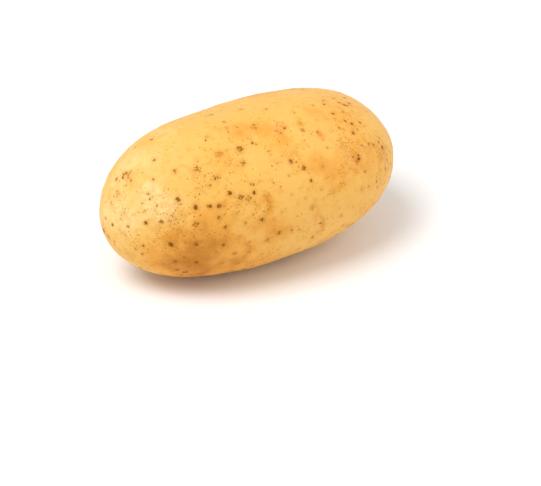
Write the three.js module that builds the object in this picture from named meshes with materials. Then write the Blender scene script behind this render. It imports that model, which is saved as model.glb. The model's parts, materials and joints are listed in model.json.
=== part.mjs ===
// A whole, unpeeled potato lying on its belly: one long oval tuber with blunt ends,
// a shallow saddle along its back, a few shallow eyes and the scar where it hung on its stolon.
//
// Millimetres, +Z up. The origin is on the table, under the middle of the tuber's box.
// +X runs along the tuber from its rose end, where the eyes crowd, to its stem end.
import * as THREE from "three";
import { mergeVertices } from "three/addons/utils/BufferGeometryUtils.js";

// Size of the tuber before its swellings
const LENGTH = 110;
const WIDTH = 64.2;
const HEIGHT = 55;

// Lengthwise form: how the girth departs from a plain ellipsoid's, by powers of the place
// along the tuber, which runs from -1 at the rose end to 1 at the stem end
const TAPER = 0.21;
const BLUNTNESS = 0.31;
const STEM_FULLNESS = -0.1;
const END_ROUNDING = -0.21;
const STEM_DEPTH = -0.25; // the stem end is wider than it is deep, and the rose end the other way

// Bend of the tuber's middle line in mm, sideways and up, and its pitch in degrees as it lies
const BEND_SIDE = 5.6;
const BEND_UP = 0.7;
const SWAY_SIDE = -0.7;
const SWAY_UP = 6.7;
const SWAY_BALANCE = 0.6;
const PITCH = -0.96;

// The belly is flattened where it rests
const REST_DEPTH = 0.7;

// Broad swellings (height over 0) and hollows (height under 0): place along the tuber,
// degrees round it from +Y over the top (+Z), reach in mm and height in mm
const SWELLINGS = [
  { along: -0.72, around: 62, reach: 16, height: -0.1 },
  { along: -0.95, around: 70, reach: 15, height: 0.45 },
  { along: -0.1, around: 72, reach: 22, height: -1.15 },
  { along: 0.62, around: 78, reach: 18, height: -0.95 },
  { along: 0.93, around: 120, reach: 16, height: -1.2 },
  { along: 0.9, around: 205, reach: 16, height: 1.7 },
  { along: -0.8, around: 255, reach: 18, height: 0.95 },
  { along: -0.35, around: 262, reach: 20, height: 0.5 },
  { along: 0.35, around: 230, reach: 22, height: -1.2 },
  { along: -0.97, around: 180, reach: 14, height: -0.5 },
  { along: -0.93, around: 335, reach: 12, height: 0.45 },
  { along: 0.3, around: 178, reach: 18, height: -0.6 },
  { along: -0.1, around: 352, reach: 20, height: 1.4 },
  { along: 0.5, around: 12, reach: 20, height: -1.4 },
  { along: 0.75, around: 318, reach: 18, height: 1.1 },
  { along: -0.55, around: 325, reach: 17, height: -1.3 },
];

// Eyes: place as above, width and depth of the hollow, and height of the brow, all in mm
const EYES = [
  { along: -0.87, around: 90, width: 9, depth: 1.1, brow: 0.5 },
  { along: -0.85, around: 136, width: 9, depth: 0.6, brow: 0.25 },
  { along: -0.78, around: 352, width: 10, depth: 1.8, brow: 0.9 },
  { along: -0.84, around: 290, width: 10, depth: 1.6, brow: 0.8 },
  { along: -0.5, around: 26, width: 11, depth: 2.0, brow: 1.0 },
  { along: -0.3, around: 330, width: 12, depth: 2.3, brow: 1.15 },
  { along: 0.08, around: 190, width: 11, depth: 1.6, brow: 0.85 },
  { along: 0.06, around: 112, width: 9, depth: 0.6, brow: 0.35 },
  { along: 0.27, around: 122, width: 8, depth: 0.5, brow: 0.3 },
  { along: 0.16, around: 10, width: 13, depth: 2.3, brow: 1.15 },
  { along: 0.42, around: 282, width: 12, depth: 1.8, brow: 0.9 },
  { along: 0.42, around: 146, width: 10, depth: 1.2, brow: 0.5 },
  { along: 0.7, around: 34, width: 11, depth: 1.9, brow: 1.0 },
];
const BOWL_LENGTH = 0.26; // half length of an eye's hollow along the tuber, in eye widths
const BOWL_WIDTH = 0.42; // half width across, in eye widths
const BROW_PLACE = 0.3; // distance of the brow from the bud towards the stem end, in eye widths
const BROW_CURVE = 0.9; // how far the brow's ends bend round the bud, in eye widths
const BROW_THICKNESS = 1.1;
const BROW_SPREAD = 0.42; // half width of the brow, in eye widths
const BUD_RADIUS = 1.1;
const BUD_SHARE = 0.35; // height of the bud, as a share of the hollow's depth

// Scar of the stolon at the stem end: a shallow pit with a corky stub in it
const SCAR_RADIUS = 3.3;
const SCAR_DEPTH = 2.9;
const STUB_RADIUS = 1.3;
const STUB_HEIGHT = 1.9;

// Mesh: the longest edge on the smooth skin, and near an eye or the scar
const START_DETAIL = 5;
const SKIN_EDGE = 4.6;
const FINE_EDGE = 1.25;
const FINE_REACH = 0.63; // in eye widths
const MOST_PASSES = 8;

const STEMWARD = new THREE.Vector3(1, 0, 0);
const STEP = 1e-3;

// The plain tuber: the point for a direction from its middle
function plainPoint(direction) {
  const { x: t, y: side, z: up } = direction;
  const girth = 1 + TAPER * t + BLUNTNESS * t ** 2 + STEM_FULLNESS * t ** 3 + END_ROUNDING * t ** 4;
  const sway = t ** 3 - SWAY_BALANCE * t;
  return new THREE.Vector3(
    (LENGTH / 2) * t,
    (WIDTH / 2) * side * girth + BEND_SIDE * t ** 2 + SWAY_SIDE * sway,
    (HEIGHT / 2) * up * (girth + STEM_DEPTH * t) + BEND_UP * t ** 2 + SWAY_UP * sway,
  );
}

// Two directions square to a given one
function crossways(direction) {
  const guide = Math.abs(direction.z) < 0.9 ? new THREE.Vector3(0, 0, 1) : new THREE.Vector3(0, 1, 0);
  const first = new THREE.Vector3().crossVectors(guide, direction).normalize();
  return [first, new THREE.Vector3().crossVectors(direction, first)];
}

// The outward normal of the plain tuber
function plainNormal(direction) {
  const [first, second] = crossways(direction);
  const here = plainPoint(direction);
  const a = plainPoint(direction.clone().addScaledVector(first, STEP).normalize()).sub(here);
  const b = plainPoint(direction.clone().addScaledVector(second, STEP).normalize()).sub(here);
  return a.cross(b).normalize();
}

// The direction of a feature from its place along and round the tuber
function directionOf({ along, around }) {
  const angle = THREE.MathUtils.degToRad(around);
  const girth = Math.sqrt(1 - along ** 2);
  return new THREE.Vector3(along, girth * Math.cos(angle), girth * Math.sin(angle));
}

// A feature with its point on the skin and its own axes: out, towards the stem end, and across
function placed(feature) {
  const direction = directionOf(feature);
  const out = plainNormal(direction);
  const stemward = STEMWARD.clone().addScaledVector(out, -STEMWARD.dot(out)).normalize();
  const across = new THREE.Vector3().crossVectors(out, stemward);
  return { ...feature, centre: plainPoint(direction), out, stemward, across };
}

const swellings = SWELLINGS.map(placed);
const eyes = EYES.map(placed);
const scar = plainPoint(STEMWARD);
const bell = (distance, reach) => Math.exp(-((distance / reach) ** 2));

// Height that one eye adds to the skin: a wide shallow hollow with a low bud in it,
// under a brow that curves round the bud on its stem side
function eyeHeight(eye, point) {
  const offset = point.clone().sub(eye.centre);
  if (offset.length() > 1.5 * eye.width) return 0;
  const ahead = offset.dot(eye.stemward);
  const beside = offset.dot(eye.across);
  const hollow = bell(Math.hypot(ahead / BOWL_LENGTH, beside / BOWL_WIDTH), eye.width);
  const bud = bell(Math.hypot(ahead, beside / 1.6), BUD_RADIUS);
  const browLine = eye.width * (BROW_PLACE - BROW_CURVE * (beside / eye.width) ** 2);
  const brow = bell(ahead - browLine, BROW_THICKNESS) * bell(beside, BROW_SPREAD * eye.width);
  return -eye.depth * (hollow - BUD_SHARE * bud) + eye.brow * brow;
}

// The skin's point for a direction, with swellings, eyes and scar
function skinPoint(direction) {
  const point = plainPoint(direction);
  let height = 0;
  for (const s of swellings) height += s.height * bell(point.distanceTo(s.centre), s.reach);
  for (const e of eyes) height += eyeHeight(e, point);
  const fromScar = point.distanceTo(scar);
  height += STUB_HEIGHT * bell(fromScar, STUB_RADIUS) - SCAR_DEPTH * bell(fromScar, SCAR_RADIUS);
  return point.addScaledVector(plainNormal(direction), height);
}

// The longest edge that the mesh may have at a point
function edgeLimit(point) {
  const nearEye = eyes.some((e) => point.distanceTo(e.centre) < FINE_REACH * e.width);
  const nearScar = point.distanceTo(scar) < 1.9 * SCAR_RADIUS;
  return nearEye || nearScar ? FINE_EDGE : SKIN_EDGE;
}

// Splits the edges of a ball's triangles that are too long on the tuber, until none is
function refined(directions, triangles) {
  const points = directions.map(plainPoint);
  for (let pass = 0; pass < MOST_PASSES; pass++) {
    const middles = new Map();
    const middleOf = (a, b) => {
      const key = a < b ? `${a},${b}` : `${b},${a}`;
      if (!middles.has(key)) {
        const direction = directions[a].clone().add(directions[b]).normalize();
        const point = plainPoint(direction);
        const long = points[a].distanceTo(points[b]) > edgeLimit(point);
        middles.set(key, long ? directions.push(direction) - 1 : -1);
        if (long) points.push(point);
      }
      return middles.get(key);
    };
    const next = triangles.flatMap((corners) => split(corners, middleOf, points));
    if (next.length === triangles.length) break;
    triangles = next;
  }
  return triangles;
}

// One triangle in the pieces that its split edges make
function split([a, b, c], middleOf, points) {
  const [ab, bc, ca] = [middleOf(a, b), middleOf(b, c), middleOf(c, a)];
  const count = [ab, bc, ca].filter((m) => m >= 0).length;
  if (count === 0) return [[a, b, c]];
  if (count === 3) return [[a, ab, ca], [ab, b, bc], [ca, bc, c], [ab, bc, ca]];
  if (count === 1) {
    if (ab >= 0) return [[a, ab, c], [ab, b, c]];
    if (bc >= 0) return [[a, b, bc], [a, bc, c]];
    return [[a, b, ca], [ca, b, c]];
  }
  // Two split edges: the corner between them comes off, and the rest is cut along its shorter diagonal
  const [tip, left, right, toLeft, toRight] =
    ab < 0 ? [c, a, b, ca, bc] : bc < 0 ? [a, b, c, ab, ca] : [b, c, a, bc, ab];
  const leftCut = points[left].distanceTo(points[toRight]) < points[right].distanceTo(points[toLeft]);
  const rest = leftCut
    ? [[toLeft, left, toRight], [left, right, toRight]]
    : [[toLeft, left, right], [toLeft, right, toRight]];
  return [[tip, toLeft, toRight], ...rest];
}

// The tuber's closed skin, flattened where it rests and centred over the origin
function tuberGeometry() {
  const ball = new THREE.IcosahedronGeometry(1, START_DETAIL);
  ball.deleteAttribute("normal");
  ball.deleteAttribute("uv");
  const merged = mergeVertices(ball, 1e-5);
  const place = merged.attributes.position;
  const directions = Array.from({ length: place.count }, (_, i) =>
    new THREE.Vector3().fromBufferAttribute(place, i).normalize(),
  );
  const flat = Array.from(merged.index.array);
  const start = Array.from({ length: flat.length / 3 }, (_, i) => flat.slice(3 * i, 3 * i + 3));
  const triangles = refined(directions, start);
  const pitch = new THREE.Matrix4().makeRotationY(THREE.MathUtils.degToRad(PITCH));
  const skin = directions.map((direction) => skinPoint(direction).applyMatrix4(pitch));
  const box = new THREE.Box3().setFromPoints(skin);
  const middle = box.getCenter(new THREE.Vector3());
  const table = box.min.z + REST_DEPTH;
  const numbers = skin.flatMap((p) => [p.x - middle.x, p.y - middle.y, Math.max(p.z - table, 0)]);
  const geometry = new THREE.BufferGeometry();
  geometry.setAttribute("position", new THREE.Float32BufferAttribute(numbers, 3));
  geometry.setIndex(triangles.flat());
  geometry.computeVertexNormals();
  return geometry;
}

const skinMaterial = new THREE.MeshStandardMaterial({ color: 0xeeb45c, roughness: 0.55, metalness: 0 });
const tuber = new THREE.Mesh(tuberGeometry(), skinMaterial);
tuber.name = "tuber";

const potato = new THREE.Group();
potato.add(tuber);

export default potato;
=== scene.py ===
# A whole, unpeeled potato on a pale studio floor. Its lumps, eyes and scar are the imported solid's.
# Here its skin is cut into small, even faces, and takes its fine relief, its lenticels and its colour.
import json
import math
import random
from collections import namedtuple

import bpy
import numpy as np
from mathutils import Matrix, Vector, noise

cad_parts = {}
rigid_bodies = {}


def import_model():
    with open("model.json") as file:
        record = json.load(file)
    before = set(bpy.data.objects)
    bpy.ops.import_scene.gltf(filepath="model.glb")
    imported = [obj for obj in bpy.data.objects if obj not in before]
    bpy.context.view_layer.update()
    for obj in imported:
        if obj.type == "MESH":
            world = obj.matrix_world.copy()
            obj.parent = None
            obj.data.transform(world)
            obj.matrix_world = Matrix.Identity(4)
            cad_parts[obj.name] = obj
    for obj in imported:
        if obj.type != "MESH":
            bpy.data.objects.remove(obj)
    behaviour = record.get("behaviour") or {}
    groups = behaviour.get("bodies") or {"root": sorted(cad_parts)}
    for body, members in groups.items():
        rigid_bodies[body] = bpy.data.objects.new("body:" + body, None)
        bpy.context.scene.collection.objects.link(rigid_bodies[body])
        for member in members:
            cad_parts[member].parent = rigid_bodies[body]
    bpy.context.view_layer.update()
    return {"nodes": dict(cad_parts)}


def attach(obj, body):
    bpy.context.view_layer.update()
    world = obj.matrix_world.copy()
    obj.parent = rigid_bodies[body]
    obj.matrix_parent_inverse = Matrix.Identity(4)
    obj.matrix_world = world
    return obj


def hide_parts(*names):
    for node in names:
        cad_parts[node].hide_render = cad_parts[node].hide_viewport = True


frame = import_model()
chance = random.Random(7)

MM = 0.001

# The photograph's view
PHOTO_WIDTH, PHOTO_HEIGHT = 541, 486
VIEW_AZIMUTH = math.radians(-35.07)
VIEW_ELEVATION = math.radians(30)
VIEW_DISTANCE = 0.8
PIXELS_PER_METRE = 2915  # at the potato's middle
MIDDLE_X, MIDDLE_Y = 251.1, 181.6  # where the potato's middle is in the photograph
MIDDLE = Vector((0, 0, 26 * MM))
# The photograph stops showing the skin right of this column, below a curved edge
HIDDEN_LEFT = 213
HIDDEN_TOP_X, HIDDEN_TOP_Y, HIDDEN_CURVE = 300, 172, 190
EDGE_ON = 0.12  # skin that is seen more edge-on than this is too narrow to place the listed marks on

# The skin's faces and relief. Sizes here and below are in mm where they aren't multiplied by MM.
VOXEL = 0.53 * MM
BUMPS = (("lumps", 14, 0.25), ("dimples", 4, 0.07), ("grain", 1.5, 0.025))  # size and depth
CREASE_DEPTH, BROW_LIP, BUD_HEIGHT = 0.25, 0.12, 0.28
BUDS = ((0.1, 0.0), (0.5, 1.7), (0.4, -1.6))  # in each eye: towards the stem end, and across
BUD_RADIUS = 0.7
CRACK_DEPTH = 0.12
LENTICEL_RISE, LENTICEL_PIT = 0.08, 0.16

# Scattered where the photograph shows no skin
LENTICEL_SPACING = 6
SCATTER_TRIES = 1500
SCATTERED_TONES, SCATTERED_PEPPER = 30, 25

# The studio
FLOOR_WIDTH = 6
FLOOR_WHITE = (0.92, 0.92, 0.92, 1)
SKY_STRENGTH = 0.62
SOFTBOXES = (  # name, place, width and watts
    ("key", (-0.55, 0.0, 1.05), 0.7, 10),
    ("fill", (0.8, -0.55, 0.6), 0.9, 3.5),
)

# Lenticels and spots by place in the photograph: its pixel, the width in mm, how dark it is, and
# how whole. A whole one is one scab, and one that isn't is a loose group of flecks.
Mark = namedtuple("Mark", "x y width dark whole")
ROSE_EYE_MARKS = [
    Mark(124.0, 174.6, 1.3, 0.95, 1.0),
    Mark(126.6, 173.2, 1.2, 0.95, 1.0),
    Mark(130.2, 172.8, 1.0, 0.8, 0.7),
    Mark(131.5, 170.3, 0.8, 0.8, 0.8),
    Mark(122.9, 177.8, 1.4, 0.95, 0.9),
    Mark(128.8, 177.5, 1.6, 0.4, 0.1),
    Mark(131.2, 180.8, 1.2, 0.75, 0.7),
    Mark(116.5, 179.2, 1.4, 0.85, 0.8),
    Mark(125.6, 185.0, 1.3, 0.6, 0.4),
    Mark(119.5, 181.5, 0.7, 0.4, 0.4),
]
ROSE_END_MARKS = [
    Mark(151.9, 139.5, 1.6, 0.7, 0.5),
    Mark(154.3, 160.0, 1.7, 0.7, 0.5),
    Mark(151.0, 162.0, 0.8, 0.4, 0.5),
    Mark(134.0, 148.5, 1.8, 0.35, 0.2),
    Mark(131.0, 152.0, 1.0, 0.3, 0.3),
    Mark(174.6, 171.3, 1.8, 0.65, 0.5),
    Mark(197.0, 169.4, 2.5, 0.6, 0.3),
    Mark(153.3, 179.8, 1.6, 0.65, 0.3),
    Mark(148.6, 193.4, 1.2, 0.55, 0.4),
    Mark(149.8, 199.2, 0.9, 0.9, 0.9),
    Mark(151.7, 197.6, 0.6, 0.3, 0.6),
    Mark(142.3, 203.0, 1.1, 0.5, 0.3),
    Mark(157.0, 206.0, 1.2, 0.5, 0.3),
    Mark(155.0, 211.0, 1.0, 0.5, 0.5),
    Mark(144.8, 211.0, 1.0, 0.6, 0.5),
    Mark(117.5, 195.0, 2.2, 0.45, 0.1),
    Mark(114.0, 196.5, 0.9, 0.5, 0.6),
    Mark(111.5, 203.5, 1.5, 0.6, 0.3),
    Mark(124.9, 212.5, 1.4, 0.65, 0.3),
    Mark(133.0, 215.0, 1.0, 0.45, 0.3),
    Mark(128.3, 226.5, 1.4, 0.7, 0.4),
    Mark(105.7, 218.5, 1.1, 0.7, 0.5),
    Mark(112.6, 224.7, 1.4, 0.7, 0.7),
    Mark(104.0, 230.6, 1.7, 0.95, 1.0),
    Mark(108.8, 237.0, 1.8, 0.65, 0.3),
    Mark(114.5, 241.5, 0.9, 0.55, 0.5),
    Mark(114.8, 245.2, 0.9, 0.55, 0.6),
    Mark(125.5, 235.0, 0.7, 0.4, 0.6),
    Mark(122.0, 233.0, 1.3, 0.3, 0.1),
    Mark(138.0, 235.0, 0.8, 0.6, 0.8),
]
BELLY_MARKS = [
    Mark(178.0, 199.2, 2.0, 0.9, 0.8),
    Mark(195.4, 207.2, 2.2, 0.95, 0.9),
    Mark(207.0, 205.5, 1.2, 0.5, 0.3),
    Mark(210.2, 206.4, 1.7, 0.95, 0.9),
    Mark(219.0, 206.2, 2.1, 0.85, 0.7),
    Mark(229.8, 193.0, 1.9, 0.9, 0.8),
    Mark(172.6, 215.8, 1.0, 0.5, 0.5),
    Mark(169.0, 220.5, 1.4, 0.5, 0.2),
    Mark(175.5, 219.0, 1.6, 0.25, 0.1),
    Mark(161.3, 221.6, 1.7, 0.85, 0.6),
    Mark(146.0, 222.8, 1.7, 0.95, 0.9),
    Mark(195.8, 224.7, 2.6, 0.75, 0.5),
    Mark(200.5, 230.2, 0.9, 0.5, 0.5),
    Mark(204.5, 229.0, 0.7, 0.3, 0.5),
    Mark(178.2, 230.0, 1.0, 0.25, 0.3),
    Mark(171.1, 244.4, 2.4, 1.0, 1.0),
    Mark(196.3, 244.2, 2.1, 0.75, 0.7),
    Mark(200.5, 242.0, 1.2, 0.4, 0.2),
    Mark(143.2, 245.6, 1.2, 1.0, 1.0),
    Mark(142.7, 253.9, 1.4, 0.7, 0.7),
    Mark(135.8, 249.0, 1.1, 0.65, 0.6),
    Mark(125.5, 249.4, 0.8, 0.45, 0.5),
    Mark(154.0, 241.3, 1.0, 0.5, 0.5),
    Mark(146.0, 261.4, 1.3, 0.35, 0.3),
    Mark(153.6, 265.4, 1.1, 0.25, 0.3),
    Mark(140.6, 267.6, 1.3, 0.85, 0.9),
    Mark(175.6, 261.4, 1.6, 0.85, 0.8),
    Mark(196.2, 262.4, 2.0, 1.0, 0.8),
    Mark(183.9, 256.9, 1.1, 0.65, 0.6),
    Mark(177.0, 270.0, 2.0, 0.8, 0.5),
    Mark(184.9, 271.7, 2.2, 0.9, 0.5),
]
BACK_MARKS = [
    Mark(217.0, 154.8, 1.1, 0.7, 0.6),
    Mark(218.8, 153.8, 3.0, 0.45, 0.15),
    Mark(205.6, 140.4, 0.9, 0.8, 0.9),
    Mark(207.2, 136.8, 2.0, 0.4, 0.1),
    Mark(211.8, 114.6, 1.5, 0.7, 0.5),
    Mark(207.0, 115.6, 1.5, 0.45, 0.2),
    Mark(224.0, 122.2, 1.5, 0.6, 0.5),
    Mark(226.5, 127.8, 1.5, 0.7, 0.5),
    Mark(227.6, 131.0, 1.0, 0.35, 0.4),
    Mark(240.4, 109.6, 1.9, 0.5, 0.1),
    Mark(237.6, 127.0, 1.1, 0.35, 0.3),
    Mark(240.0, 148.8, 2.7, 0.9, 0.6),
    Mark(238.3, 147.4, 1.2, 0.95, 1.0),
    Mark(242.7, 162.4, 2.1, 0.65, 0.6),
    Mark(242.0, 158.8, 1.3, 0.3, 0.2),
    Mark(253.8, 124.8, 1.1, 0.85, 0.9),
    Mark(256.0, 127.8, 1.1, 0.7, 0.6),
    Mark(251.5, 127.5, 2.2, 0.35, 0.1),
    Mark(252.6, 143.2, 1.5, 0.75, 0.7),
    Mark(256.2, 144.2, 0.9, 0.55, 0.5),
    Mark(250.5, 139.6, 1.2, 0.35, 0.2),
    Mark(268.8, 151.2, 1.8, 0.4, 0.3),
    Mark(265.6, 109.4, 1.8, 0.5, 0.2),
    Mark(230.8, 141.0, 0.9, 0.3, 0.4),
    Mark(215.4, 178.6, 1.5, 0.9, 0.8),
    Mark(216.5, 177.0, 2.8, 0.5, 0.15),
    Mark(210.2, 185.0, 1.2, 0.6, 0.6),
    Mark(226.2, 188.2, 0.8, 0.5, 0.6),
    Mark(204.8, 177.2, 1.2, 0.55, 0.5),
    Mark(200.0, 182.0, 2.0, 0.25, 0.0),
    Mark(284.5, 128.3, 1.3, 0.8, 0.8),
    Mark(280.8, 133.2, 1.3, 0.5, 0.6),
    Mark(275.8, 131.2, 1.1, 0.4, 0.4),
    Mark(277.0, 122.4, 0.9, 0.3, 0.5),
    Mark(294.3, 112.5, 1.4, 0.45, 0.5),
    Mark(302.6, 130.2, 1.9, 0.65, 0.5),
    Mark(317.5, 132.2, 1.3, 0.85, 0.8),
    Mark(323.0, 139.8, 0.9, 0.4, 0.6),
    Mark(327.0, 147.8, 1.2, 0.5, 0.5),
    Mark(290.8, 161.6, 2.1, 0.85, 0.6),
    Mark(296.4, 162.0, 0.9, 0.6, 0.6),
    Mark(303.8, 168.0, 2.0, 0.8, 0.8),
    Mark(322.6, 166.5, 1.7, 0.35, 0.2),
    Mark(271.0, 154.4, 1.2, 0.35, 0.4),
]
STEM_END_MARKS = [
    Mark(313.0, 105.2, 1.1, 0.5, 0.6),
    Mark(324.1, 104.3, 1.2, 0.75, 0.9),
    Mark(323.3, 100.4, 1.1, 0.5, 0.6),
    Mark(334.0, 98.5, 1.3, 0.7, 0.7),
    Mark(339.2, 102.6, 1.4, 0.55, 0.5),
    Mark(344.3, 105.0, 1.8, 0.7, 0.7),
    Mark(347.2, 105.8, 1.3, 0.8, 0.8),
    Mark(349.2, 103.7, 1.4, 0.75, 0.8),
    Mark(344.6, 98.0, 1.7, 0.6, 0.3),
    Mark(332.9, 113.8, 1.5, 0.95, 0.9),
    Mark(342.7, 112.0, 1.3, 0.5, 0.4),
    Mark(335.0, 119.4, 1.2, 0.45, 0.3),
    Mark(341.4, 122.2, 1.0, 0.5, 0.5),
    Mark(345.4, 121.2, 1.3, 0.85, 0.8),
    Mark(351.8, 123.8, 1.5, 0.95, 0.9),
    Mark(357.6, 129.6, 1.1, 0.45, 0.4),
    Mark(359.8, 122.6, 1.4, 0.75, 0.8),
    Mark(364.2, 126.0, 1.0, 0.45, 0.7),
    Mark(339.2, 128.0, 1.1, 0.95, 1.0),
    Mark(344.4, 130.4, 1.0, 0.25, 0.3),
    Mark(353.2, 133.0, 1.7, 0.8, 0.7),
    Mark(379.3, 138.2, 0.9, 0.8, 1.0),
    Mark(362.0, 145.4, 1.2, 0.75, 0.6),
    Mark(368.2, 143.5, 1.2, 0.75, 0.7),
    Mark(366.5, 147.4, 0.8, 0.25, 0.5),
    Mark(373.5, 144.6, 1.3, 0.85, 0.8),
    Mark(378.4, 142.4, 1.3, 0.9, 0.6),
    Mark(382.2, 147.6, 1.7, 1.0, 1.0),
    Mark(387.0, 159.6, 1.3, 0.45, 0.4),
    Mark(390.2, 163.2, 1.0, 0.4, 0.5),
    Mark(385.3, 168.5, 1.1, 0.65, 0.8),
    Mark(343.4, 143.6, 1.7, 0.15, 0.1),
    Mark(364.8, 171.8, 1.1, 0.75, 0.8),
    Mark(350.5, 168.5, 0.9, 0.3, 0.5),
]
STEM_EYE_MARKS = [
    Mark(352.5, 156.6, 1.0, 0.8, 0.9),
    Mark(355.8, 153.2, 1.1, 0.3, 0.3),
    Mark(358.4, 155.6, 1.3, 0.8, 0.8),
    Mark(358.9, 158.8, 1.6, 1.0, 1.0),
    Mark(357.4, 162.6, 1.3, 0.65, 0.5),
    Mark(353.6, 161.2, 1.0, 0.4, 0.3),
]

# Soft patches of colour by place in the photograph: its pixel, the reach in mm, and the tone:
# below -1 cream, 0 golden, 1 orange, above 2 ochre. Low on the belly the ochre is partly painted
# shade.
Patch = namedtuple("Patch", "x y reach amount")
ROSE_END_TONES = [
    Patch(122, 196, 12, -0.7),
    Patch(121, 179, 6, -0.5),
    Patch(117, 170, 4, -0.5),
    Patch(136, 158, 5, -0.4),
    Patch(137, 177, 5, 1.0),
    Patch(158, 135, 3.5, -0.4),
    Patch(168, 160, 5, 0.4),
    Patch(106, 210, 5, -0.4),
    Patch(121, 225, 8, -0.8),
    Patch(120, 216, 4, -0.7),
    Patch(146, 200, 8, -0.5),
    Patch(151, 198, 4, -1.0),
    Patch(161, 183, 4, -0.2),
    Patch(140, 165, 10, -0.4),
    Patch(153, 160, 5, -0.5),
    Patch(139, 230, 6, -0.4),
    Patch(155, 213, 4.5, -0.7),
    Patch(129, 231, 4, 0.4),
    Patch(135, 218, 6, -0.5),
]
BELLY_TONES_AND_SHADE = [
    Patch(174, 208, 5, -0.4),
    Patch(177, 216, 6, -0.85),
    Patch(202, 214, 4, 0.5),
    # The next four patches darken the belly towards the floor: partly the skin's own ochre, partly
    # painted shade
    Patch(207, 241, 10, 1.2),
    Patch(182, 241, 7, 0.6),
    Patch(195, 266, 12, 2.0),
    Patch(188, 278, 9, 1.6),
    Patch(175, 256, 9, 0.3),
    Patch(152, 257, 6, 0.6),
    Patch(148, 244, 8, 0.3),
    Patch(215, 215, 8, 0.3),
]
BACK_TONES = [
    Patch(176, 138, 14, -0.35),
    Patch(184, 174, 4, 0.4),
    Patch(205, 179, 5, -0.4),
    Patch(218, 164, 5, 0.7),
    Patch(230, 118, 10, -0.15),
    Patch(240, 130, 6, 0.5),
    Patch(248, 102, 5, -0.4),
    Patch(262, 128, 6, 0.8),
    Patch(265, 144, 4, 0.2),
    Patch(285, 139, 5, 0.85),
    Patch(288, 125, 5, -0.3),
    Patch(300, 96, 9, -0.2),
    Patch(301, 127, 6, -0.6),
    Patch(301, 146, 5, -0.6),
    Patch(303, 161, 6, 0.4),
    Patch(308, 110, 4, 0.3),
]
STEM_END_TONES = [
    Patch(318, 134, 6, 0.2),
    Patch(319, 167, 4, 0.5),
    Patch(320, 118, 4, 0.3),
    Patch(327, 144, 5, -0.6),
    Patch(327, 163, 9, 0.75),
    Patch(330, 110, 9, 0.25),
    Patch(344, 138, 4, -0.4),
    Patch(345, 118, 10, 0.4),
    Patch(349, 105, 5, 0.4),
    Patch(355, 150, 9, 0.25),
    Patch(366, 120, 6, -0.2),
    Patch(368, 165, 5, 0.6),
    Patch(375, 150, 8, 0.2),
    Patch(386, 142, 3.5, -0.5),
]
# Where the skin is peppered with fine brown dots, more of them for a larger amount
PEPPERED = [
    Patch(118, 202, 8, 0.6),
    Patch(126, 176, 5, 0.8),
    Patch(150, 202, 6, 0.5),
    Patch(166, 218, 7, 1.0),
    Patch(172, 236, 8, 0.9),
    Patch(192, 250, 10, 1.0),
    Patch(130, 240, 9, 0.8),
    Patch(118, 225, 6, 0.3),
    Patch(216, 180, 6, 0.8),
    Patch(219, 155, 5, 0.7),
    Patch(198, 169, 5, 0.6),
    Patch(240, 150, 5, 0.8),
    Patch(255, 127, 5, 0.6),
    Patch(226, 125, 5, 0.6),
    Patch(284, 130, 5, 0.6),
    Patch(293, 163, 5, 0.8),
    Patch(345, 104, 7, 0.8),
    Patch(345, 124, 9, 0.7),
    Patch(356, 158, 6, 0.8),
    Patch(374, 144, 7, 0.6),
    Patch(388, 163, 5, 0.7),
]
# Small spots with a red cast
BLUSHES = [
    Patch(282.5, 127.5, 2.0, 0.9),
    Patch(277.0, 131.0, 1.6, 0.6),
    Patch(318.8, 133.6, 1.6, 0.9),
    Patch(321.2, 136.6, 1.5, 0.8),
    Patch(252.0, 127.5, 1.6, 0.5),
    Patch(219.0, 153.5, 1.6, 0.5),
    Patch(128.0, 177.0, 1.8, 0.6),
    Patch(239.0, 133.5, 1.8, 0.5),
    Patch(356.0, 158.0, 2.4, 0.5),
]

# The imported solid's eyes: place and width in mm, and how plainly each one shows
Eye = namedtuple("Eye", "x y z width strength")
EYES = [
    Eye(-47.8, 3.7, 41.0, 9, 0.5),
    Eye(-46.4, -8.3, 37.5, 9, 0.15),
    Eye(-42.0, 21.1, 23.6, 10, 1.0),
    Eye(-45.4, 9.1, 9.6, 10, 0.9),
    Eye(-27.4, 23.8, 37.8, 11, 1.0),
    Eye(-15.5, 24.1, 14.5, 12, 1.0),
    Eye(5.2, -31.1, 22.1, 11, 0.9),
    Eye(3.4, -12.7, 51.3, 9, 0.2),
    Eye(14.9, -18.1, 48.0, 8, 0.2),
    Eye(9.3, 30.6, 30.3, 13, 1.0),
    Eye(23.6, 6.5, 2.3, 12, 0.9),
    Eye(22.9, -26.3, 39.4, 10, 0.5),
    Eye(38.0, 23.8, 37.2, 11, 0.9),
]
# The scar where the tuber hung on its stolon, and its reach in mm
SCAR = Vector((54.2, 4.6, 30.6)) * MM
SCAR_REACH = 3.2


def select_only(*objects):
    """Selects these objects and makes the first one active."""
    bpy.ops.object.select_all(action="DESELECT")
    for thing in objects:
        thing.select_set(True)
    bpy.context.view_layer.objects.active = objects[0]


def apply_modifier(piece, kind, **settings):
    """Puts one modifier on a piece and applies it."""
    modifier = piece.modifiers.new(kind.lower(), kind)
    for name, value in settings.items():
        setattr(modifier, name, value)
    select_only(piece)
    bpy.ops.object.modifier_apply(modifier=modifier.name)


def vertex_places(piece):
    """The piece's vertices as an array of points."""
    places = np.empty(3 * len(piece.data.vertices))
    piece.data.vertices.foreach_get("co", places)
    return places.reshape(-1, 3)


def set_vertex_places(piece, places):
    piece.data.vertices.foreach_set("co", places.ravel())
    piece.data.update()


def vertex_normals(piece):
    normals = np.empty(3 * len(piece.data.vertices))
    piece.data.vertices.foreach_get("normal", normals)
    return normals.reshape(-1, 3)


def smooth_step(low, high, value):
    share = np.clip((value - low) / (high - low), 0, 1)
    return share * share * (3 - 2 * share)


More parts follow.
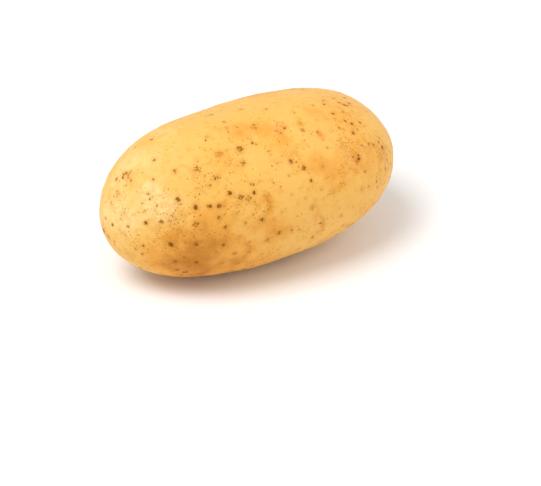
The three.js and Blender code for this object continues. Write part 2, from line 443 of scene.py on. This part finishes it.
def make_camera():
    """A camera at the photograph's viewing angle, with the potato at its place in the picture."""
    back = Vector((
        math.sin(VIEW_AZIMUTH) * math.cos(VIEW_ELEVATION),
        -math.cos(VIEW_AZIMUTH) * math.cos(VIEW_ELEVATION),
        math.sin(VIEW_ELEVATION),
    ))
    right = Vector((math.cos(VIEW_AZIMUTH), math.sin(VIEW_AZIMUTH), 0))
    up = back.cross(right)
    aim = MIDDLE.copy()
    aim += right * (PHOTO_WIDTH / 2 - MIDDLE_X) / PIXELS_PER_METRE
    aim -= up * (PHOTO_HEIGHT / 2 - MIDDLE_Y) / PIXELS_PER_METRE
    place = MIDDLE + back * VIEW_DISTANCE
    turn = (aim - place).to_track_quat("-Z", "Y").to_euler()
    bpy.ops.object.camera_add(location=place, rotation=turn)
    camera = bpy.context.object
    camera.data.sensor_width = 36
    camera.data.lens = PIXELS_PER_METRE * VIEW_DISTANCE / PHOTO_WIDTH * 36
    camera.data.clip_start = 0.01
    bpy.context.scene.camera = camera
    bpy.context.view_layer.update()
    return camera


def skin_at(piece, camera, x, y):
    """The point of the skin that the photograph shows at a pixel, or None beside the potato."""
    focal = PIXELS_PER_METRE * VIEW_DISTANCE
    ray = Vector((x - PHOTO_WIDTH / 2, PHOTO_HEIGHT / 2 - y, -focal))
    ray = (camera.matrix_world.to_3x3() @ ray).normalized()
    hit, point, _, _ = piece.ray_cast(camera.location, ray)
    return point if hit else None


def finer_skin(node):
    """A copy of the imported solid's skin in small, even faces."""
    select_only(node)
    bpy.ops.object.duplicate()
    skin = bpy.context.object
    bpy.ops.object.parent_clear(type="CLEAR_KEEP_TRANSFORM")
    for name in list(skin.keys()):
        del skin[name]
    skin.name = "potato_skin"
    skin.data.materials.clear()
    bpy.ops.object.mode_set(mode="EDIT")
    bpy.ops.mesh.select_all(action="SELECT")
    bpy.ops.mesh.remove_doubles(threshold=1e-6)
    bpy.ops.object.mode_set(mode="OBJECT")
    apply_modifier(skin, "SUBSURF", levels=1, render_levels=1)
    apply_modifier(skin, "REMESH", mode="VOXEL", voxel_size=VOXEL, use_smooth_shade=True)
    apply_modifier(skin, "SMOOTH", factor=0.5, iterations=6)
    return skin


def rest_on_floor(skin, smooth_places):
    """Fades the relief out at the belly's flat spot, and keeps the skin above the floor."""
    places = vertex_places(skin)
    share = smooth_step(0.02 * MM, 0.6 * MM, smooth_places[:, 2])
    places[:, 2] = np.maximum(places[:, 2] * share, 0)
    set_vertex_places(skin, places)


def add_clouds(skin, name, size, depth):
    """Uneven ground of the skin: bumps of a size and depth."""
    clouds = bpy.data.textures.new(name, "CLOUDS")
    clouds.noise_scale = size * MM
    clouds.noise_depth = 2
    apply_modifier(skin, "DISPLACE", texture=clouds, texture_coords="LOCAL", mid_level=0.5,
                   strength=2 * depth * MM)


def write_number(skin, name, values):
    """Keeps one number on each vertex, for the material."""
    attribute = skin.data.attributes.new(name, "FLOAT", "POINT")
    attribute.data.foreach_set("value", np.asarray(values, dtype=np.float32))


def wander(places, size):
    """Smooth noise from -1 to 1 on each vertex, with waves about as long as size."""
    return np.array([noise.noise(Vector(place) / (size * MM)) for place in places])


def around_eye(eye, places, normals):
    """Which vertices are near an eye, and how far they are from its bud, stemward and across."""
    centre = np.array([eye.x, eye.y, eye.z]) * MM
    offset = (places - centre) / MM
    near = np.linalg.norm(offset, axis=1) < 1.2 * eye.width
    out = normals[np.linalg.norm(offset, axis=1) < 0.5 * eye.width].mean(axis=0)
    out /= np.linalg.norm(out)
    stemward = np.array([1.0, 0.0, 0.0]) - out[0] * out
    stemward /= np.linalg.norm(stemward)
    across = np.cross(out, stemward)
    return near, offset[near] @ stemward, offset[near] @ across


def finish_eyes(skin):
    """Gives each eye a crease under its brow and a few sleeping buds, and paints both."""
    places, normals = vertex_places(skin), vertex_normals(skin)
    height = np.zeros(len(places))
    crease_paint, bud_paint = np.zeros(len(places)), np.zeros(len(places))
    for eye in EYES:
        near, ahead, beside = around_eye(eye, places, normals)
        brow = eye.width * (0.3 - 0.9 * (beside / eye.width) ** 2)
        span = np.exp(-((beside / (0.4 * eye.width)) ** 2))
        crease = np.exp(-(((ahead - brow + 1.2) / 0.6) ** 2)) * span
        lip = np.exp(-(((ahead - brow - 0.2) / 0.8) ** 2)) * span
        buds = sum(np.exp(-((ahead - a) ** 2 + (beside - b) ** 2) / BUD_RADIUS ** 2)
                   for a, b in BUDS)
        height[near] += eye.strength * (BUD_HEIGHT * buds + BROW_LIP * lip - CREASE_DEPTH * crease)
        crease_paint[near] += eye.strength * crease
        bud_paint[near] += eye.strength * buds
    set_vertex_places(skin, places + normals * height[:, None] * MM)
    write_number(skin, "crease", crease_paint)
    write_number(skin, "bud", bud_paint)


def finish_scar(skin):
    """Cracks the corky scar unevenly, and paints it."""
    places, normals = vertex_places(skin), vertex_normals(skin)
    offset = (places - np.array(SCAR)) / MM
    away = np.linalg.norm(offset, axis=1) / SCAR_REACH
    turn = np.arctan2(offset[:, 2], offset[:, 1])
    cracks = np.cos(7 * turn + 5 * wander(places, 2)) * np.exp(-(((away - 0.75) / 0.4) ** 2))
    set_vertex_places(skin, places - normals * CRACK_DEPTH * cracks[:, None] * MM)
    ragged = away * (1 + 0.25 * wander(places, 3) + 0.2 * wander(places + 0.05, 1.2))
    write_number(skin, "scar", np.clip(1.7 - ragged, 0, 1.7))


def marks_in_photo(skin, camera):
    """The marks that the photograph shows, on the skin: place, width, darkness and wholeness."""
    listed = ROSE_EYE_MARKS + ROSE_END_MARKS + BELLY_MARKS + BACK_MARKS
    listed += STEM_END_MARKS + STEM_EYE_MARKS
    found = [(skin_at(skin, camera, mark.x, mark.y), mark) for mark in listed]
    return [(point, mark.width * MM, mark.dark, mark.whole) for point, mark in found if point]


def shown_in_photo(camera, point, normal):
    """Whether the photograph shows this part of the skin, so that its marks are placed one by one."""
    towards = camera.location - point
    if towards.normalized().dot(normal) < EDGE_ON:
        return False
    place = camera.matrix_world.inverted() @ point
    focal = PIXELS_PER_METRE * VIEW_DISTANCE
    x = PHOTO_WIDTH / 2 - focal * place.x / place.z
    y = PHOTO_HEIGHT / 2 + focal * place.y / place.z
    if x < HIDDEN_LEFT:
        return True
    if x < HIDDEN_TOP_X:
        return y < HIDDEN_TOP_Y + (HIDDEN_TOP_X - x) ** 2 / HIDDEN_CURVE
    return y < HIDDEN_TOP_Y + 2


def scattered_marks(skin, camera, marks):
    """Marks for the rest of the skin, of the same kinds and as loose as those in the photograph."""
    places, normals = vertex_places(skin), vertex_normals(skin)
    crowding = wander(places, 17)
    kept = [mark[0] for mark in marks]
    found = []
    for _ in range(SCATTER_TRIES):
        index = chance.randrange(len(places))
        point, normal = Vector(places[index]), Vector(normals[index])
        if point.z < 0.4 * MM or shown_in_photo(camera, point, normal):
            continue
        spacing = LENTICEL_SPACING * MM * chance.uniform(0.25, 1.6) * (1 - 0.7 * crowding[index])
        if any((point - other).length < spacing for other in kept):
            continue
        kept.append(point)
        dark = 0.25 + 0.75 * chance.random() ** 1.6
        width = chance.triangular(0.7, 2.7, 1.2) * MM * (0.75 + 0.35 * dark)
        found.append((point, width, dark, chance.random() ** 0.9))
    return found


def paint_marks(skin, marks):
    """Writes how far each vertex is from the nearest mark, in its half widths, and what it is like."""
    places = vertex_places(skin)
    nearest = np.full(len(places), 4.0)
    dark, whole = np.zeros(len(places)), np.zeros(len(places))
    for point, width, darkness, wholeness in marks:
        away = np.linalg.norm(places - np.array(point), axis=1) / (width / 2)
        closer = away < nearest
        nearest[closer] = away[closer]
        dark[closer] = darkness
        whole[closer] = wholeness
    values = np.stack([nearest, dark, whole], axis=1).astype(np.float32)
    attribute = skin.data.attributes.new("marks", "FLOAT_VECTOR", "POINT")
    attribute.data.foreach_set("vector", values.ravel())
    return nearest, dark, whole


def raise_marks(skin, nearest, dark, whole):
    """A lenticel is a low corky rise with a pit in it."""
    rise = LENTICEL_RISE * np.exp(-((nearest / 1.1) ** 2)) * (0.4 + dark)
    pit = LENTICEL_PIT * np.exp(-((nearest / 0.55) ** 2)) * dark * whole
    places = vertex_places(skin) + vertex_normals(skin) * (rise - pit)[:, None] * MM
    set_vertex_places(skin, places)


def patches_in_photo(skin, camera, listed):
    found = [(skin_at(skin, camera, patch.x, patch.y), patch) for patch in listed]
    return [(point, patch.reach * MM, patch.amount) for point, patch in found if point]


def scattered_patches(skin, camera, count, least, most):
    """Patches with amounts from least to most, for the sides that the photograph doesn't show."""
    places, normals = vertex_places(skin), vertex_normals(skin)
    found = []
    while len(found) < count:
        index = chance.randrange(len(places))
        point, normal = Vector(places[index]), Vector(normals[index])
        if not shown_in_photo(camera, point, normal):
            found.append((point, chance.uniform(5, 11) * MM, chance.uniform(least, most)))
    return found


def paint_patches(skin, name, patches, raggedness):
    """Writes the sum of soft ragged patches as one number on each vertex."""
    places = vertex_places(skin)
    ragged = 1 + raggedness * (wander(places, 9) + 0.6 * wander(places + 0.05, 3.5))
    total = np.zeros(len(places))
    for point, reach, amount in patches:
        away = np.linalg.norm(places - np.array(point), axis=1) * ragged
        total += amount * np.exp(-((away / reach) ** 2))
    write_number(skin, name, total)


class Nodes:
    """Short names for making and joining the nodes of one material."""

    def __init__(self, tree):
        self.tree = tree

    def add(self, kind, **settings):
        made = self.tree.nodes.new(kind)
        for name, value in settings.items():
            setattr(made, name, value)
        return made

    def join(self, source, target):
        self.tree.links.new(source, target)

    def feed(self, socket, value):
        if isinstance(value, bpy.types.NodeSocket):
            self.join(value, socket)
        else:
            socket.default_value = value

    def math(self, operation, a, b=0.0, clamp=False):
        made = self.add("ShaderNodeMath", operation=operation, use_clamp=clamp)
        self.feed(made.inputs[0], a)
        self.feed(made.inputs[1], b)
        return made.outputs[0]

    def times(self, *values):
        """The product of all the values."""
        product = values[0]
        for value in values[1:]:
            product = self.math("MULTIPLY", product, value)
        return product

    def fade(self, value, low, high, low_out=0.0, high_out=1.0):
        """Maps low to low_out and high to high_out, with soft ends."""
        made = self.add("ShaderNodeMapRange", interpolation_type="SMOOTHSTEP")
        self.feed(made.inputs["Value"], value)
        made.inputs["From Min"].default_value = low
        made.inputs["From Max"].default_value = high
        made.inputs["To Min"].default_value = low_out
        made.inputs["To Max"].default_value = high_out
        return made.outputs["Result"]

    def noise(self, place, size, detail=2.0):
        """Noise from 0 to 1 with features about as wide as size."""
        made = self.add("ShaderNodeTexNoise")
        self.join(place, made.inputs["Vector"])
        made.inputs["Scale"].default_value = 1 / (size * MM)
        made.inputs["Detail"].default_value = detail
        return made.outputs["Fac"]

    def drift(self, place, size, amount):
        """Noise about 0, up to half of amount either way."""
        return self.times(self.math("SUBTRACT", self.noise(place, size, 3), 0.5), amount)

    def stirred(self, place, size, reach):
        """The place, moved about by noise up to reach, so that cells get ragged edges."""
        made = self.add("ShaderNodeTexNoise")
        self.join(place, made.inputs["Vector"])
        made.inputs["Scale"].default_value = 1 / (size * MM)
        shift = self.add("ShaderNodeVectorMath", operation="MULTIPLY_ADD")
        self.join(made.outputs["Color"], shift.inputs[0])
        shift.inputs[1].default_value = (reach * MM,) * 3
        self.join(place, shift.inputs[2])
        return shift.outputs[0]

    def cells(self, place, size):
        """Cells of a size: the distance from a cell's middle, and two chance numbers for each."""
        made = self.add("ShaderNodeTexVoronoi")
        self.join(place, made.inputs["Vector"])
        made.inputs["Scale"].default_value = 1 / (size * MM)
        split = self.add("ShaderNodeSeparateXYZ")
        self.join(made.outputs["Color"], split.inputs[0])
        return made.outputs["Distance"], split.outputs[0], split.outputs[1]

    def mix(self, share, a, b):
        made = self.add("ShaderNodeMix", data_type="RGBA")
        self.feed(made.inputs[0], share)
        self.feed(made.inputs[6], a)
        self.feed(made.inputs[7], b)
        return made.outputs[2]

    def attribute(self, name, output="Fac"):
        return self.add("ShaderNodeAttribute", attribute_name=name).outputs[output]


# Colours of the skin
CREAM = (0.89, 0.59, 0.225, 1)
GOLDEN = (0.83, 0.461, 0.102, 1)
ORANGE = (0.785, 0.358, 0.053, 1)
# Ochre: the skin's own deeper tone, and low on the belly also painted shade
OCHRE_AND_SHADE = (0.50, 0.180, 0.008, 1)
RED_CAST = (0.74, 0.235, 0.04, 1)
RUSSET = (0.48, 0.175, 0.008, 1)
SCAB = (0.38, 0.135, 0.005, 1)
# Cork: the dark core of a lenticel, and also painted shade in the scar's trough
CORK_AND_SHADE = (0.19, 0.053, 0.001, 1)
SCAR_CORK = (0.46, 0.215, 0.060, 1)
BUD_CREAM = (0.90, 0.50, 0.22, 1)
MOTTLING = ((14, 0.9), (3.2, 0.9), (1.0, 0.7))  # size and strength of each drift in the skin's tone


def ground_colour(n, place):
    """Cream, golden, orange and ochre patches, mottled, with a red cast beside some marks. The ochre
    low on the belly is partly painted shade.
    """
    tone_and_shade = n.attribute("tone_and_shade")
    for size, strength in MOTTLING:
        tone_and_shade = n.math("ADD", tone_and_shade, n.drift(place, size, strength))
    net = n.times(n.drift(place, 0.45, 1.0), n.math("ADD", n.attribute("pepper"), 0.9))
    tone_and_shade = n.math("ADD", tone_and_shade, net)
    colour = n.mix(n.fade(tone_and_shade, -1.6, 0), CREAM, GOLDEN)
    colour = n.mix(n.fade(tone_and_shade, 0, 1), colour, ORANGE)
    colour = n.mix(n.fade(tone_and_shade, 0.7, 3.2), colour, OCHRE_AND_SHADE)
    smudge = n.math("ADD", n.noise(place, 2.2, 4), n.times(n.attribute("pepper"), 0.10))
    colour = n.mix(n.times(n.fade(smudge, 0.54, 0.74), 0.22), colour, OCHRE_AND_SHADE)
    cast = n.times(n.attribute("blush"), n.fade(n.noise(place, 1.6, 3), 0.3, 0.6), 0.65)
    return n.mix(n.math("MINIMUM", cast, 1.0), colour, RED_CAST)


def add_flecks(n, place, colour):
    """Pepper: dots about half a millimetre wide in loose groups, and a few bolder ones."""
    crowd = n.fade(n.noise(place, 5, 3), 0.3, 0.8, 0.0, 0.62)
    crowd = n.math("ADD", crowd, n.times(n.attribute("pepper"), 0.36))
    away, first, second = n.cells(n.stirred(place, 0.6, 0.7), 0.85)
    kept = n.fade(n.math("SUBTRACT", crowd, n.times(first, 0.5)), 0.28, 0.36)
    fine = n.times(n.fade(away, 0.36, 0.22), kept, n.fade(second, 0.0, 1.0, 0.3, 1.0))
    colour = n.mix(fine, colour, n.mix(n.fade(second, 0.6, 0.9), RUSSET, SCAB))
    away, first, second = n.cells(n.stirred(place, 1.0, 0.8), 2.3)
    chosen = n.fade(n.math("ADD", first, n.times(crowd, 0.5)), 0.83, 0.90)
    bold = n.times(n.fade(away, 0.17, 0.10), chosen, n.fade(second, 0.0, 1.0, 0.3, 0.9))
    return n.mix(bold, colour, SCAB)


def add_lenticels(n, place, colour):
    """Ragged scabs made of small cells: all of them in a whole mark, and a few in a loose one."""
    split = n.add("ShaderNodeSeparateXYZ")
    n.join(n.attribute("marks", "Vector"), split.inputs[0])
    away, dark, whole = split.outputs
    looseness = n.math("SUBTRACT", 1.0, n.times(whole, 0.65))
    ragged = n.math("ADD", away, n.times(n.drift(place, 0.7, 3.2), looseness))
    _, first, second = n.cells(n.stirred(place, 0.3, 0.4), 0.36)
    kept = n.fade(n.math("SUBTRACT", n.math("ADD", n.times(whole, 0.7), 0.38), first), -0.08, 0.08)
    scab = n.times(n.fade(ragged, 1.0, 0.6), kept, n.fade(dark, 0.0, 0.75, 0.25, 1.0))
    solid = n.fade(n.math("ADD", second, n.times(whole, 0.4)), 0.35, 0.75)
    core = n.times(n.fade(ragged, 0.78, 0.3), kept, solid, n.fade(dark, 0.45, 0.95))
    ring = n.times(n.fade(away, 2.4, 0.8), n.times(dark, 0.3))
    colour = n.mix(ring, colour, RUSSET)
    colour = n.mix(scab, colour, n.mix(n.fade(dark, 0.3, 0.8), RUSSET, SCAB))
    return n.mix(core, colour, CORK_AND_SHADE), scab


def add_eyes_and_scar(n, place, colour):
    """Brown dust in the eyes' creases, pale buds, cork on the scar, and painted shade in the scar's
    trough.
    """
    dust = n.times(n.attribute("crease"), n.fade(n.noise(place, 0.9, 3), 0.3, 0.6), 0.6)
    colour = n.mix(dust, colour, RUSSET)
    colour = n.mix(n.math("MINIMUM", n.times(n.attribute("bud"), 0.4), 1.0), colour, BUD_CREAM)
    scar = n.math("ADD", n.attribute("scar"), n.drift(place, 0.7, 0.6))
    rim = n.fade(scar, 0.40, 0.75)
    colour = n.mix(n.times(rim, 0.7), colour, RUSSET)
    cork = n.mix(n.fade(n.noise(place, 0.8, 4), 0.35, 0.65), SCAR_CORK, SCAB)
    colour = n.mix(n.times(n.fade(scar, 0.70, 1.00), 0.9), colour, cork)
    # A dark ring in the scar's trough is painted shade of the hollow, in cork colour
    pit = n.times(n.fade(scar, 0.85, 1.10), n.fade(scar, 1.45, 1.20))
    return n.mix(n.times(pit, 0.55), colour, CORK_AND_SHADE), rim


def skin_material():
    """Thin golden skin with flecks, corky lenticels and a soft sheen."""
    material = bpy.data.materials.new("potato_skin")
    material.use_nodes = True
    tree = material.node_tree
    n = Nodes(tree)
    shader = tree.nodes["Principled BSDF"]
    place = n.add("ShaderNodeTexCoord").outputs["Object"]

    colour = ground_colour(n, place)
    colour = add_flecks(n, place, colour)
    colour, scab = add_lenticels(n, place, colour)
    colour, cork = add_eyes_and_scar(n, place, colour)
    n.join(colour, shader.inputs["Base Color"])

    # Sheen of thin skin, duller on cork
    rough = n.fade(n.noise(place, 2.5, 3), 0.3, 0.7, 0.42, 0.56)
    rough = n.math("ADD", rough, n.times(n.math("MAXIMUM", scab, cork), 0.3), clamp=True)
    n.join(rough, shader.inputs["Roughness"])
    shader.inputs["Specular IOR Level"].default_value = 0.2
    shader.inputs["Subsurface Weight"].default_value = 0.10
    shader.inputs["Subsurface Radius"].default_value = (1.0, 0.5, 0.2)
    shader.inputs["Subsurface Scale"].default_value = 1.2 * MM

    # Fine relief: papery grain, and scabs that stand out
    grain = n.math("ADD", n.times(n.noise(place, 0.6, 4), 1.1), n.times(n.noise(place, 2.2, 2), 0.9))
    grain = n.math("ADD", grain, n.times(scab, 0.5))
    bump = n.add("ShaderNodeBump")
    bump.inputs["Strength"].default_value = 0.6
    bump.inputs["Distance"].default_value = 0.12 * MM
    n.join(grain, bump.inputs["Height"])
    n.join(bump.outputs["Normal"], shader.inputs["Normal"])
    return material


def make_studio():
    """A plain white floor and soft light from the upper left of the view."""
    bpy.ops.mesh.primitive_plane_add(size=FLOOR_WIDTH)
    floor = bpy.context.object
    floor.name = "floor"
    white = bpy.data.materials.new("floor_white")
    white.use_nodes = True
    paint = white.node_tree.nodes["Principled BSDF"]
    paint.inputs["Base Color"].default_value = FLOOR_WHITE
    paint.inputs["Roughness"].default_value = 0.9
    paint.inputs["Specular IOR Level"].default_value = 0.1
    floor.data.materials.append(white)

    world = bpy.data.worlds.new("studio")
    world.use_nodes = True
    world.node_tree.nodes["Background"].inputs["Color"].default_value = (1, 1, 1, 1)
    world.node_tree.nodes["Background"].inputs["Strength"].default_value = SKY_STRENGTH
    bpy.context.scene.world = world

    for name, place, width, watts in SOFTBOXES:
        add_softbox(name, Vector(place), width, watts)


def add_softbox(name, place, width, watts):
    """A square soft light, turned towards the potato."""
    turn = (MIDDLE - place).to_track_quat("-Z", "Y").to_euler()
    bpy.ops.object.light_add(type="AREA", location=place, rotation=turn)
    box = bpy.context.object
    box.name = name
    box.data.size = width
    box.data.energy = watts


camera = make_camera()
skin = finer_skin(frame["nodes"]["tuber"])
smooth_places = vertex_places(skin)
for bumps, size, depth in BUMPS:
    add_clouds(skin, bumps, size, depth)
finish_eyes(skin)
finish_scar(skin)
marks = marks_in_photo(skin, camera)
marks += scattered_marks(skin, camera, marks)
raise_marks(skin, *paint_marks(skin, marks))
tones_and_shade = patches_in_photo(skin, camera, ROSE_END_TONES + BELLY_TONES_AND_SHADE + BACK_TONES + STEM_END_TONES)
tones_and_shade += scattered_patches(skin, camera, SCATTERED_TONES, least=-0.7, most=0.9)
paint_patches(skin, "tone_and_shade", tones_and_shade, raggedness=0.55)
pepper = patches_in_photo(skin, camera, PEPPERED)
pepper += scattered_patches(skin, camera, SCATTERED_PEPPER, least=0.4, most=1.0)
paint_patches(skin, "pepper", pepper, raggedness=0.6)
paint_patches(skin, "blush", patches_in_photo(skin, camera, BLUSHES), raggedness=0.3)
rest_on_floor(skin, smooth_places)
skin.data.materials.append(skin_material())
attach(skin, "root")
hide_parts("tuber")
make_studio()
bpy.context.scene.view_settings.view_transform = "Standard"
